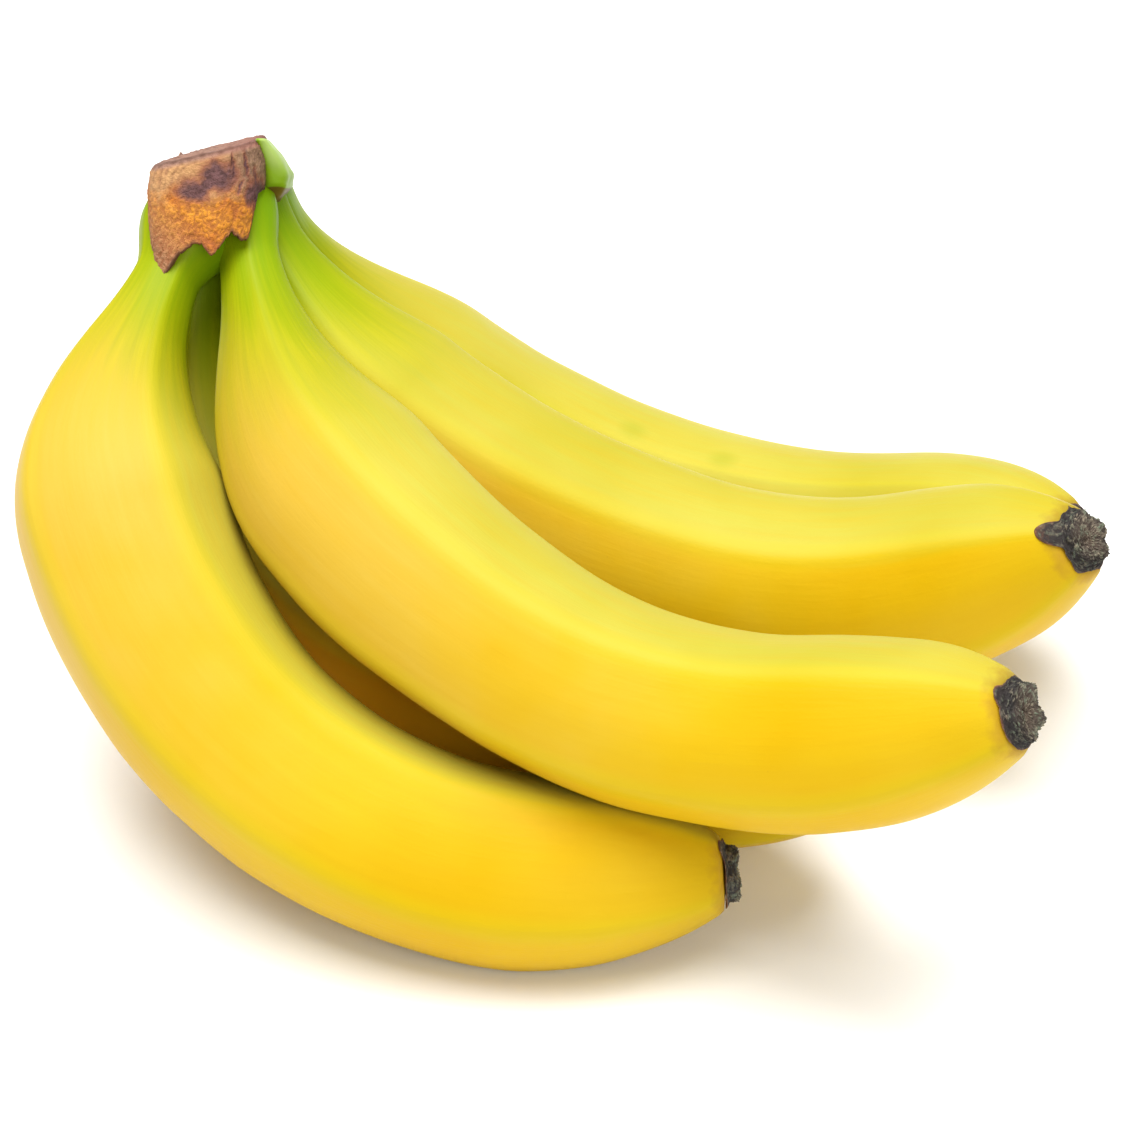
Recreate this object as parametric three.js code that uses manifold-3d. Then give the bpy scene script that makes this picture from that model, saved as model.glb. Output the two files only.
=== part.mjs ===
// A bunch of five ripe bananas, joined at the crown that was cut from the stalk, lying on a table.
// Millimetres, +Z up. The origin is on the table, at the middle of the bunch's footprint.
import * as THREE from "three";
import { NURBSCurve } from "three/addons/curves/NURBSCurve.js";
import { mergeVertices } from "three/addons/utils/BufferGeometryUtils.js";
import Module from "manifold-3d";

const wasm = await Module();
wasm.setup();

// ---- Driving dimensions ----

// Bunch coordinates of the middle of the footprint, which the finished group moves to the origin.
const FOOTPRINT_CENTRE = [2.3, -21.6];
// How far the bellies of the lowest fingers are pressed flat on the table.
const BELLY_FLATTENING = 0.8;
// Clear gap between pieces that touch.
const GAP = 0.3;

// Each finger's centre line is a smooth curve pulled along by these points, from inside the crown
// to the dried end. `radius` is from the centre line to a ridge at the thickest place, `neck` the
// same where the finger leaves the crown, `shoulder` where along it the one turns into the other,
// and `roll` the degrees that its ridges are turned round the centre line.
const FINGERS = {
  front: {
    radius: 21.3,
    neck: 7,
    shoulder: [14, 70],
    roll: -5,
    route: [
      [-72, 24.5, 95], [-87.7, -9, 77.5], [-86.1, -34, 61], [-66, -62, 36.5],
      [-34, -80, 20.5], [-2.5, -84.5, 15.5], [32.8, -83.5, 18],
    ],
  },
  middle: {
    radius: 20.7,
    neck: 6.1,
    shoulder: [13, 75],
    roll: 0,
    route: [
      [-64, 28.4, 97.7], [-57.5, -5.5, 77.5], [-44.8, -32, 67], [-16.4, -58.2, 55.4],
      [15, -77.6, 46.4], [51.3, -87.8, 51.6], [80.5, -100.8, 69.9],
    ],
  },
  upper: {
    radius: 21.5,
    neck: 6.6,
    shoulder: [4, 58],
    roll: -18,
    route: [
      [-64, 35, 98], [-54, 18, 69], [-28.5, 3.5, 49.5], [11.5, -11, 37],
      [52, -21.5, 31.5], [83.5, -26, 43.3], [100, -37, 61],
    ],
  },
  back: {
    radius: 19.6,
    neck: 6.1,
    shoulder: [9, 69],
    roll: 0,
    route: [
      [-62.5, 38, 95.5], [-51, 45.5, 60.5], [-22.5, 50.5, 30.4], [15, 38.5, 17],
      [53, 23, 16.7], [86.5, 10.5, 28], [104, -7, 39.5],
    ],
  },
  inner: {
    radius: 19.4,
    neck: 7,
    shoulder: [12, 66],
    roll: 0,
    route: [
      [-69.5, 32, 94], [-78, 18, 61], [-69, 1, 38], [-49, -21, 22],
      [-17, -39, 17], [20, -52.5, 16.5], [52.5, -69, 24.5],
    ],
  },
};

// How much a finger thins from its shoulder to its rounded end.
const BODY_TAPER = 0.1;
// The body rounds in to the dried end over this length.
const END_ROUNDING = 51;
// How late the rounding sets in, on the inside and on the outside of the bend.
const END_FULLNESS = { inside: 3.5, outside: 2.6 };
const END_RADIUS = 6.8;

// Round a finger: the angles of its lengthwise ridges, in degrees from the inside of the curve,
// and how flat the faces between them are, from 0, round, to 1, flat.
const RIDGE_ANGLES = [0, 66, 148, 212, 294];
const FACE_FLATNESS = 0.42;
const FACE_STEPS = 4;
const FINGER_RINGS = 28;
// Above 1, the rings stand closer together towards the dried end.
const RING_CROWDING = 1.25;

// The dried blossom end. The skin stops short of the end of the centre line by the setback, and
// the lobed stub starts there, with a hollow in its own ragged end.
const TIP_SETBACK = 2.5;
const TIP_LENGTH = 2;
const TIP_RADIUS = 5.4;
const TIP_NARROWING = 0.3;
const TIP_LOBES = 5;
const TIP_LOBE_DEPTH = 0.13;
const TIP_RAGGEDNESS = 0.14;
const TIP_HOLLOW = 1.2;
const TIP_RINGS = 5;
const TIP_SIDES = 20;

// The crown leans back from the fingers. Its own frame has x across the front, y into the depth
// and z up to the cut, with its origin at the middle of the upper front edge.
const CROWN_PLACE = [-70.4, 19.9, 112.3];
const CROWN_LEAN = 30;
const CROWN_HALF_WIDTH = 12.8;
const CROWN_HALF_DEPTH = 17;
const CROWN_SQUARENESS = 3.2;
// Towards the back the crown shifts sideways and narrows.
const CROWN_SKEW = 0.12;
const CROWN_NARROWING = 0.46;
// The cut is this much higher or lower than the frame's origin at the front, and rises across to
// one side and towards the back, in millimetres a millimetre.
const CROWN_CUT_HEIGHT = -1.5;
const CROWN_CUT_SLOPE = 0.23;
const CROWN_CUT_TILT = 0.08;
const CROWN_SIDES = 72;
// The ragged lower edge of the cork: how far it hangs below the cut, in directions round the
// crown, in degrees from the front. The tongues hang over the necks.
const CROWN_EDGE = [
  { at: -180, down: 13 }, { at: -160, down: 16 }, { at: -135, down: 12 }, { at: -110, down: 14 },
  { at: -85, down: 9 }, { at: -60, down: 10.5 }, { at: -45, down: 17 }, { at: -36, down: 24 },
  { at: -30, down: 26.4 }, { at: -15, down: 20.6 }, { at: -3, down: 18.2 }, { at: 2, down: 18.4 },
  { at: 10, down: 20.8 }, { at: 22, down: 16 }, { at: 29, down: 17.6 }, { at: 35, down: 17.4 },
  { at: 38, down: 13.5 }, { at: 45, down: 8.5 }, { at: 60, down: 7.6 }, { at: 95, down: 9 },
  { at: 120, down: 14 }, { at: 140, down: 11 }, { at: 160, down: 15 }, { at: 180, down: 13 },
];
// The longest tongue lies this much further forward than the cut, and this share further in.
const TONGUE_FLARE = 5;
const TONGUE_PINCH = 0.13;
// The crown's side, from the cut to its underside: the share of the way down to the ragged edge,
// millimetres down beyond that, and millimetres in from the side.
const CROWN_PROFILE = [
  { share: 0, beyond: -0.4, inset: 5 },
  { share: 0, beyond: 0, inset: 1.6 },
  { share: 0, beyond: 1.2, inset: 0.3 },
  { share: 0.3, beyond: 0, inset: -0.2 },
  { share: 0.62, beyond: 0, inset: -0.6 },
  { share: 1, beyond: -2, inset: -0.2 },
  { share: 1, beyond: 0, inset: 1 },
  { share: 1, beyond: -2, inset: 4.5 },
];
const CUT_HOLLOW = 0.8;
const UNDERSIDE_DEPTH = 10;

// The strip of green skin that is left on the side of the crown, over the back necks, from its
// narrow upper end to its wide lower end.
const STRIP_TOP = { x: 11.4, y: 9, z: 2, halfThickness: 1.2, halfWidth: 4 };
const STRIP_FOOT = { x: 14.6, y: 18, z: -7.4, halfThickness: 3.1, halfWidth: 9.5 };
const STRIP_BOW = 0.7;
const STRIP_RINGS = 6;
const STRIP_SIDES = 20;
const STRIP_SQUARENESS = 2.6;
const STRIP_END_ROUNDING = 0.75;
const STRIP_DOME = 0.5;

const COLOURS = {
  finger: { color: 0xf3d83c, roughness: 0.45, metalness: 0 },
  tip: { color: 0x4b4138, roughness: 0.9, metalness: 0 },
  crown: { color: 0xa9713c, roughness: 0.85, metalness: 0 },
  strip: { color: 0xa2b14e, roughness: 0.5, metalness: 0 },
};

// ---- Shapes ----

const RADIANS = Math.PI / 180;
const mix = (a, b, share) => a + (b - a) * share;

// A closed surface through rings of points, each ring of the same length, with a point closing
// each end.
function closedSurface(firstPole, rings, lastPole) {
  const sides = rings[0].length;
  const positions = [firstPole, ...rings.flat(), lastPole].flatMap((p) => p.toArray());
  const at = (ring, side) => 1 + ring * sides + (side % sides);
  const last = positions.length / 3 - 1;
  const faces = [];
  for (let side = 0; side < sides; side++) {
    faces.push(0, at(0, side + 1), at(0, side));
    for (let ring = 0; ring + 1 < rings.length; ring++) {
      const [a, b] = [at(ring, side), at(ring, side + 1)];
      const [c, d] = [at(ring + 1, side), at(ring + 1, side + 1)];
      faces.push(a, b, d, a, d, c);
    }
    faces.push(last, at(rings.length - 1, side), at(rings.length - 1, side + 1));
  }
  const geometry = new THREE.BufferGeometry();
  geometry.setAttribute("position", new THREE.Float32BufferAttribute(positions, 3));
  geometry.setIndex(faces);
  return geometry;
}

function solidOf(geometry) {
  const bare = geometry.clone();
  bare.deleteAttribute("normal");
  bare.deleteAttribute("uv");
  const merged = mergeVertices(bare, 1e-4);
  const mesh = new wasm.Mesh({
    numProp: 3,
    vertProperties: merged.attributes.position.array,
    triVerts: new Uint32Array(merged.index.array),
  });
  return new wasm.Manifold(mesh);
}

// The largest body of a solid, without the scraps that a cut leaves.
function mainBody(solid) {
  return solid.decompose().reduce((a, b) => (a.volume() > b.volume() ? a : b));
}

// The room a solid needs: itself, and itself moved by the gap towards each corner of a cube.
function roomFor(geometry) {
  const corners = [-GAP, GAP].flatMap((x) =>
    [-GAP, GAP].flatMap((y) => [-GAP, GAP].map((z) => [x, y, z])),
  );
  return corners.reduce(
    (room, corner) => room.add(solidOf(geometry.clone().translate(...corner))),
    solidOf(geometry),
  );
}

function geometryOf(solid) {
  const { vertProperties, triVerts } = solid.getMesh();
  const geometry = new THREE.BufferGeometry();
  geometry.setAttribute("position", new THREE.BufferAttribute(vertProperties, 3));
  geometry.setIndex(new THREE.BufferAttribute(triVerts, 1));
  geometry.computeVertexNormals();
  return geometry;
}

// ---- Fingers ----

function centreLine({ route }) {
  const degree = 3;
  const spans = route.length - degree;
  const inner = Array.from({ length: spans + 1 }, (_, i) => i);
  const knots = [0, 0, 0, ...inner, spans, spans, spans];
  const points = route.map(([x, y, z]) => new THREE.Vector4(x, y, z, 1));
  return new NURBSCurve(degree, knots, points);
}

// Directions at a place on the centre line: along it, towards the inside of its bend, and sideways.
function frameAt(curve, share) {
  const [root, middle, end] = [0, 0.5, 1].map((s) => curve.getPointAt(s));
  const bendAxis = middle.clone().sub(root).cross(end.clone().sub(middle)).normalize();
  const along = curve.getTangentAt(share);
  const inside = bendAxis.cross(along).normalize();
  const sideways = along.clone().cross(inside);
  return { along, inside, sideways };
}

// The radius at a distance along a finger, `outward` being 0 on the inside of the bend and 1 outside.
function fingerRadius(distance, length, { neck, radius, shoulder }, outward) {
  const endStart = length - END_ROUNDING;
  const taper = 1 - BODY_TAPER * THREE.MathUtils.smoothstep(distance, shoulder[1], endStart);
  const body = mix(neck, radius * taper, THREE.MathUtils.smoothstep(distance, ...shoulder));
  const intoEnd = Math.max(0, (distance - endStart) / END_ROUNDING);
  const fullness = mix(END_FULLNESS.inside, END_FULLNESS.outside, outward);
  return mix(body, END_RADIUS, intoEnd ** fullness);
}

// The radius round a section, with a ridge at each ridge angle and flatter faces between them.
function sectionShare(from, to, step) {
  const half = ((to - from) / 2) * RADIANS;
  const offCentre = (step / FACE_STEPS - 0.5) * 2 * half;
  const flatFace = Math.cos(half) / Math.cos(offCentre);
  return mix(1, flatFace, FACE_FLATNESS);
}

function sectionPoints() {
  return RIDGE_ANGLES.flatMap((from, i) => {
    const to = RIDGE_ANGLES[i + 1] ?? 360;
    return Array.from({ length: FACE_STEPS }, (_, step) => ({
      angle: mix(from, to, step / FACE_STEPS) * RADIANS,
      share: sectionShare(from, to, step),
    }));
  });
}

function fingerGeometry(finger, grow = 0) {
  const curve = centreLine(finger);
  const length = curve.getLength();
  const section = sectionPoints();
  const skinLength = length - TIP_SETBACK;
  const ring = (share) => {
    const centre = curve.getPointAt(share);
    const { inside, sideways } = frameAt(curve, share);
    return section.map(({ angle: ridgeAngle, share: part }) => {
      const angle = ridgeAngle + finger.roll * RADIANS;
      const outward = (1 - Math.cos(angle)) / 2;
      const radius = part * fingerRadius(share * length, skinLength, finger, outward) + grow;
      return centre
        .clone()
        .addScaledVector(inside, Math.cos(angle) * radius)
        .addScaledVector(sideways, Math.sin(angle) * radius);
    });
  };
  const lastShare = skinLength / length;
  const shares = Array.from({ length: FINGER_RINGS }, (_, i) => {
    const left = 1 - i / (FINGER_RINGS - 1);
    return lastShare * (1 - left ** RING_CROWDING);
  });
  const end = curve.getPointAt(lastShare).addScaledVector(curve.getTangentAt(lastShare), grow);
  return closedSurface(curve.getPointAt(0), shares.map(ring), end);
}

// ---- Dried ends ----

function tipGeometry(finger, turn) {
  const curve = centreLine(finger);
  const length = curve.getLength();
  const start = (length - TIP_SETBACK + GAP) / length;
  const base = curve.getPointAt(start);
  const { along, inside, sideways } = frameAt(curve, start);
  const ring = (step) => {
    const out = step / (TIP_RINGS - 1);
    const radius = TIP_RADIUS * (1 - TIP_NARROWING * out ** 3);
    return Array.from({ length: TIP_SIDES }, (_, side) => {
      const angle = (side / TIP_SIDES) * 2 * Math.PI;
      const lobes = 1 + TIP_LOBE_DEPTH * out * Math.cos(TIP_LOBES * angle + turn + out);
      const ragged = 1 + TIP_RAGGEDNESS * Math.sin(3 * angle + turn);
      return base
        .clone()
        .addScaledVector(along, TIP_LENGTH * out * mix(1, ragged, out))
        .addScaledVector(inside, Math.cos(angle) * radius * lobes)
        .addScaledVector(sideways, Math.sin(angle) * radius * lobes);
    });
  };
  const rings = Array.from({ length: TIP_RINGS }, (_, step) => ring(step));
  const hollowEnd = base.clone().addScaledVector(along, TIP_LENGTH - TIP_HOLLOW);
  return closedSurface(base, rings, hollowEnd);
}

// ---- Crown ----

const crownMatrix = new THREE.Matrix4()
  .makeRotationX(-CROWN_LEAN * RADIANS)
  .setPosition(...CROWN_PLACE);

// How far below the cut the ragged lower edge hangs, in a direction round the crown.
function edgeDown(degrees) {
  const next = CROWN_EDGE.findIndex(({ at }) => at > degrees);
  const [from, to] = [CROWN_EDGE[next - 1], CROWN_EDGE[next]];
  return mix(from.down, to.down, (degrees - from.at) / (to.at - from.at));
}

function crownPoint(degrees, { share, beyond, inset }) {
  const angle = degrees * RADIANS;
  const [s, c] = [Math.sin(angle), Math.cos(angle)];
  const across = Math.abs(s / (CROWN_HALF_WIDTH - inset));
  const deep = Math.abs(c / (CROWN_HALF_DEPTH - inset));
  const away = across ** CROWN_SQUARENESS + deep ** CROWN_SQUARENESS;
  const reach = away ** (-1 / CROWN_SQUARENESS);
  const depth = CROWN_HALF_DEPTH - reach * c;
  const backShare = depth / (2 * CROWN_HALF_DEPTH);
  const x = reach * s * (1 - CROWN_NARROWING * backShare) + CROWN_SKEW * depth;
  const topHeight = CROWN_CUT_HEIGHT + CROWN_CUT_SLOPE * x + CROWN_CUT_TILT * depth;
  const down = share * (edgeDown(degrees) + topHeight) + beyond;
  const longest = Math.max(...CROWN_EDGE.map((edge) => edge.down));
  const tongue = (down / longest) ** 2 * Math.max(0, c);
  return new THREE.Vector3(
    x * (1 - TONGUE_PINCH * tongue),
    depth - TONGUE_FLARE * tongue,
    topHeight - down,
  );
}

function crownGeometry() {
  const turn = 360 / CROWN_SIDES;
  const directions = Array.from({ length: CROWN_SIDES }, (_, side) => 180 - turn * (side + 1));
  const rings = CROWN_PROFILE.map((row) => directions.map((degrees) => crownPoint(degrees, row)));
  const cut = new THREE.Vector3(0, CROWN_HALF_DEPTH, -CUT_HOLLOW);
  const underside = new THREE.Vector3(0, CROWN_HALF_DEPTH, -UNDERSIDE_DEPTH);
  return closedSurface(cut, rings, underside).applyMatrix4(crownMatrix);
}

function stripGeometry() {
  const blend = (key, share) => mix(STRIP_TOP[key], STRIP_FOOT[key], share);
  const ring = (step) => {
    const share = step / (STRIP_RINGS - 1);
    const isEnd = step === 0 || step === STRIP_RINGS - 1;
    const rounding = isEnd ? STRIP_END_ROUNDING : 1;
    const thickness = blend("halfThickness", share) * rounding;
    const width = blend("halfWidth", share) * rounding;
    const x = blend("x", share) + STRIP_BOW * Math.sin(Math.PI * share);
    return Array.from({ length: STRIP_SIDES }, (_, side) => {
      const angle = (-2 * Math.PI * side) / STRIP_SIDES;
      const [s, c] = [Math.sin(angle), Math.cos(angle)];
      const away = Math.abs(c / thickness) ** STRIP_SQUARENESS + Math.abs(s / width) ** STRIP_SQUARENESS;
      const reach = away ** (-1 / STRIP_SQUARENESS);
      return new THREE.Vector3(x + reach * c, blend("y", share) + reach * s, blend("z", share));
    });
  };
  const rings = Array.from({ length: STRIP_RINGS }, (_, step) => ring(step));
  const end = ({ x, y, z }, out) => new THREE.Vector3(x, y, z + out);
  const [top, foot] = [end(STRIP_TOP, STRIP_DOME), end(STRIP_FOOT, -STRIP_DOME)];
  return closedSurface(top, rings, foot).applyMatrix4(crownMatrix);
}

// ---- The bunch ----

const bunch = new THREE.Group();
bunch.position.set(-FOOTPRINT_CENTRE[0], -FOOTPRINT_CENTRE[1], -BELLY_FLATTENING);

function addPiece(name, solid, finish) {
  const piece = new THREE.Mesh(geometryOf(solid), new THREE.MeshStandardMaterial(finish));
  piece.name = name;
  bunch.add(piece);
}

const table = solidOf(new THREE.BoxGeometry(400, 400, 20).translate(0, 0, BELLY_FLATTENING - 10));
const strip = solidOf(stripGeometry());
const stripRoom = roomFor(stripGeometry());
const crown = mainBody(solidOf(crownGeometry()).subtract(stripRoom));
const crownRoom = roomFor(crownGeometry()).add(stripRoom);

addPiece("crown_cushion", crown, COLOURS.crown);
addPiece("crown_shoulder", strip, COLOURS.strip);

// Each finger's belly is flattened where it lies on the table, and gives way to the crown and to
// the fingers before it where their necks press together.
let taken = table.add(crownRoom);
Object.entries(FINGERS).forEach(([name, finger], index) => {
  const whole = solidOf(fingerGeometry(finger));
  addPiece(`finger_${name}`, mainBody(whole.subtract(taken)), COLOURS.finger);
  addPiece(`tip_${name}`, solidOf(tipGeometry(finger, index)), COLOURS.tip);
  taken = taken.add(solidOf(fingerGeometry(finger, GAP)));
});

export default bunch;
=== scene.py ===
# A bunch of five ripe bananas lying on a white table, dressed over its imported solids.
# Metres, +Z up, the part's own frame.
import math

import bmesh
import bpy
from mathutils import Matrix, Vector, noise


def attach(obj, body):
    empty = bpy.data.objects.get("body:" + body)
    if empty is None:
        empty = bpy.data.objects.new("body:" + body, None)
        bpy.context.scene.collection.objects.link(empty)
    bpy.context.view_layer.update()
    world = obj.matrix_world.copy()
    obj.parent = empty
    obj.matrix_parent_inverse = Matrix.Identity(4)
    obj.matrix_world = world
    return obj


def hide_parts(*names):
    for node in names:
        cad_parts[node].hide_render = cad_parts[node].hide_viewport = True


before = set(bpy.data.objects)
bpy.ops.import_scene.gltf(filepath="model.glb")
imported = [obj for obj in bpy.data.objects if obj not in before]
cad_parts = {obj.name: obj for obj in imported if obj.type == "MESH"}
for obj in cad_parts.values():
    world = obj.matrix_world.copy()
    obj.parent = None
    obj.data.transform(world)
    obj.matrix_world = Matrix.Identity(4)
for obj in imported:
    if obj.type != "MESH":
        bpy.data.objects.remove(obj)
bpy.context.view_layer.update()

MM = 0.001

# ---- Sizes of the bunch, in millimetres. The fingers' and the crown's are those of its solids ----

FOOTPRINT_CENTRE = (2.3, -21.6)
BELLY_FLATTENING = 0.8

# Each finger's radius at a ridge of the body and of the neck, where along it the neck turns into the
# body, and how many degrees its ridges are turned. Then its looks: how far the green of the neck
# reaches, how much the skin flares where it meets the crown, how much painted crevice shade it takes
# (an amber tone over the golden, standing in for the shade deep between the fingers), how far the
# dried end's longest flap runs back, and how its lobes are turned. Last, its centre line's control
# points.
FINGERS = {
    "front": dict(
        body=21.3, neck=7, shoulder=(14, 70), roll=-5,
        green=55, collar=3.6, painted_crevice_shade=0, flap=1.0, turn=0.4,
        route=[
            (-72, 24.5, 95), (-87.7, -9, 77.5), (-86.1, -34, 61), (-66, -62, 36.5),
            (-34, -80, 20.5), (-2.5, -84.5, 15.5), (32.8, -83.5, 18)]),
    "middle": dict(
        body=20.7, neck=6.1, shoulder=(13, 75), roll=0,
        green=66, collar=1.4, painted_crevice_shade=0, flap=0.8, turn=2.1,
        route=[
            (-64, 28.4, 97.7), (-57.5, -5.5, 77.5), (-44.8, -32, 67), (-16.4, -58.2, 55.4),
            (15, -77.6, 46.4), (51.3, -87.8, 51.6), (80.5, -100.8, 69.9)]),
    "upper": dict(
        body=21.5, neck=6.6, shoulder=(4, 58), roll=-18,
        green=58, collar=0.8, painted_crevice_shade=0, flap=3.4, turn=0.0,
        route=[
            (-64, 35, 98), (-54, 18, 69), (-28.5, 3.5, 49.5), (11.5, -11, 37),
            (52, -21.5, 31.5), (83.5, -26, 43.3), (100, -37, 61)]),
    "back": dict(
        body=19.6, neck=6.1, shoulder=(9, 69), roll=0,
        green=40, collar=0.8, painted_crevice_shade=0, flap=1.0, turn=4.0,
        route=[
            (-62.5, 38, 95.5), (-51, 45.5, 60.5), (-22.5, 50.5, 30.4), (15, 38.5, 17),
            (53, 23, 16.7), (86.5, 10.5, 28), (104, -7, 39.5)]),
    # The inner finger lies deep between the others; its amber tone is painted crevice shade.
    "inner": dict(
        body=19.4, neck=7, shoulder=(12, 66), roll=0,
        green=52, collar=0.6, painted_crevice_shade=0.8, flap=1.5, turn=5.2,
        route=[
            (-69.5, 32, 94), (-78, 18, 61), (-69, 1, 38), (-49, -21, 22),
            (-17, -39, 17), (20, -52.5, 16.5), (52.5, -69, 24.5)]),
}
# What all fingers share. The two fullnesses are for the inside and the outside of the bend. The taper,
# the blunting of the ridges and the flatness of the faces between them are shares of the radius.
BODY_TAPER = 0.1
END_ROUNDING = 51
END_FULLNESS = (3.5, 2.6)
END_RADIUS = 6.8
TIP_SETBACK = 2.5
TIP_LENGTH = 2
TIP_RADIUS = 5.4
RIDGES = (0, 66, 148, 212, 294)
FACES = tuple(zip(RIDGES, (*RIDGES[1:], 360)))
RIDGE_BLUNTING = 0.988
FACE_FLATNESS = 0.42
UNEVENNESS = 0.7
TABLE_CLEARANCE = 0.2
# The flared collar fades between these distances from the crown; the skin turns in at its far end.
COLLAR_FADE = (4.5, 16)
LIP_LENGTH = 2
LIP_DEPTH = 1.3
# The dried ends: how far the crust stands off the skin and its margin is tucked in, how much that
# margin wavers, and how far the lobes and the crumbs stand out and along.
CRUST_LIFT = 0.8
CRUST_TUCK = 0.35
MARGIN_WAVER = 0.8
LOBE_RELIEF = (0.35, 0.3)
CRUMB_RELIEF = (0.45, 0.5)

CROWN_PLACE = (-70.4, 19.9, 112.3)
CROWN_LEAN = 30
CROWN_HALF_WIDTH = 12.8
CROWN_HALF_DEPTH = 17
CROWN_SQUARENESS = 3.2
CROWN_SKEW = 0.12
CROWN_NARROWING = 0.46
CROWN_CUT_HEIGHT = -1.5
CROWN_CUT_SLOPE = 0.23
CROWN_CUT_TILT = 0.08
# How far the cork hangs below the cut, by the angle round the crown: 0 at its front, then to its right.
CROWN_EDGE = (
    (-180, 13), (-160, 16), (-135, 12), (-110, 14), (-85, 9), (-60, 10.5), (-45, 17), (-36, 24),
    (-30, 26.4), (-15, 20.6), (-3, 18.2), (2, 18.4), (10, 20.8), (22, 16), (29, 17.6), (35, 17.4),
    (38, 13.5), (45, 8.5), (60, 7.6), (95, 9), (120, 14), (140, 11), (160, 15), (180, 13))
LONGEST_TONGUE = 26.4
TONGUE_FLARE = 5
TONGUE_PINCH = 0.13
CUT_HOLLOW = 0.8
UNDERSIDE_DEPTH = 10
CROWN_MARKS = ("pits", "rim", "whorl", "bruise", "cut")

STRIP_TOP = dict(x=11.4, y=9, z=2.2, thick=1.2, wide=4)
STRIP_FOOT = dict(x=14.6, y=18, z=-7.0, thick=3.1, wide=9.5)
STRIP_BOW = 0.7

# Where two green smudges lie on the back finger, in the part's frame.
SMUDGES = ((12.5, 56.4, 36.3), (31.2, 49.0, 33.7))


# ---- Small helpers ----

def add(tree, kind, ins=None, **settings):
    """One node with its settings. `ins` gives inputs, by name or place, a value or what feeds them."""
    node = tree.nodes.new(kind)
    for key, value in settings.items():
        setattr(node, key, value)
    open_inputs = [s for s in node.inputs if s.enabled]
    for key, value in (ins or {}).items():
        socket = open_inputs[key] if isinstance(key, int) else next(s for s in open_inputs if s.name == key)
        if isinstance(value, bpy.types.Node):
            value = next(s for s in value.outputs if s.enabled)
        if isinstance(value, bpy.types.NodeSocket):
            tree.links.new(value, socket)
        else:
            socket.default_value = value
    return node


def srgb(code, alpha=1.0):
    """An sRGB hex colour as linear RGBA."""
    parts = [int(code[i:i + 2], 16) / 255 for i in (1, 3, 5)]
    linear = [c / 12.92 if c <= 0.04045 else ((c + 0.055) / 1.055) ** 2.4 for c in parts]
    return (*linear, alpha)


def in_part(point):
    """A point of the bunch, in millimetres, in the part's frame, in metres."""
    x, y, z = point
    return Vector((x - FOOTPRINT_CENTRE[0], y - FOOTPRINT_CENTRE[1], z - BELLY_FLATTENING)) * MM


def mix(a, b, share):
    return a + (b - a) * share


def smooth(low, high, value):
    share = min(1, max(0, (value - low) / (high - low)))
    return share * share * (3 - 2 * share)


CROWN_FRAME = Matrix.Translation(in_part(CROWN_PLACE)) @ Matrix.Rotation(-math.radians(CROWN_LEAN), 4, "X")


def piece_from(name, mesh, node):
    """A finished mesh as a piece of the bunch, standing for the named solid."""
    bm = bmesh.new()
    bm.from_mesh(mesh)
    bmesh.ops.remove_doubles(bm, verts=bm.verts, dist=1e-6)
    bmesh.ops.recalc_face_normals(bm, faces=bm.faces)
    bm.to_mesh(mesh)
    bm.free()
    mesh.polygons.foreach_set("use_smooth", [True] * len(mesh.polygons))
    piece = bpy.data.objects.new(name, mesh)
    bpy.context.scene.collection.objects.link(piece)
    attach(piece, "root")
    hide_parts(node)
    return piece


# ---- Geometry node trees ----

def new_tree(name, inputs, outputs):
    tree = bpy.data.node_groups.new(name, "GeometryNodeTree")
    for label, kind in inputs.items():
        tree.interface.new_socket(label, in_out="INPUT", socket_type="NodeSocket" + kind)
    for label, kind in outputs.items():
        tree.interface.new_socket(label, in_out="OUTPUT", socket_type="NodeSocket" + kind)
    given = tree.nodes.new("NodeGroupInput")
    return tree, {s.name: s for s in given.outputs if s.name}


def curve_points(node, points):
    """Sets the points of a float curve node, given as (place, value)."""
    curve = node.mapping.curves[0]
    while len(curve.points) < len(points):
        curve.points.new(0.5, 0.5)
    for point, place in zip(curve.points, points):
        point.location = place
        point.handle_type = "AUTO"
    node.mapping.update()
    return node


def section_share(degrees):
    """How far the skin is from the centre line at an angle, as a share of the ridge radius."""
    start, end = next((a, b) for a, b in FACES if a <= degrees <= b)
    half = math.radians(end - start) / 2
    off = math.radians(degrees) - math.radians(start) - half
    return mix(1, math.cos(half) / math.cos(off), FACE_FLATNESS)


SIZES = {
    "Body Radius": "Float", "Neck Radius": "Float", "Shoulder From": "Float", "Shoulder To": "Float",
    "Collar": "Float"}
SWEEP_INPUTS = {
    "Geometry": "Geometry", "Rings": "Int", "Sides": "Int", **SIZES, "Bend Axis": "Vector", "Roll": "Float",
    "Green Reach": "Float", "Painted Crevice Shade": "Float", "Flap": "Float", "Turn": "Float", "Seed": "Float",
    "Material": "Material"}


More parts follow.
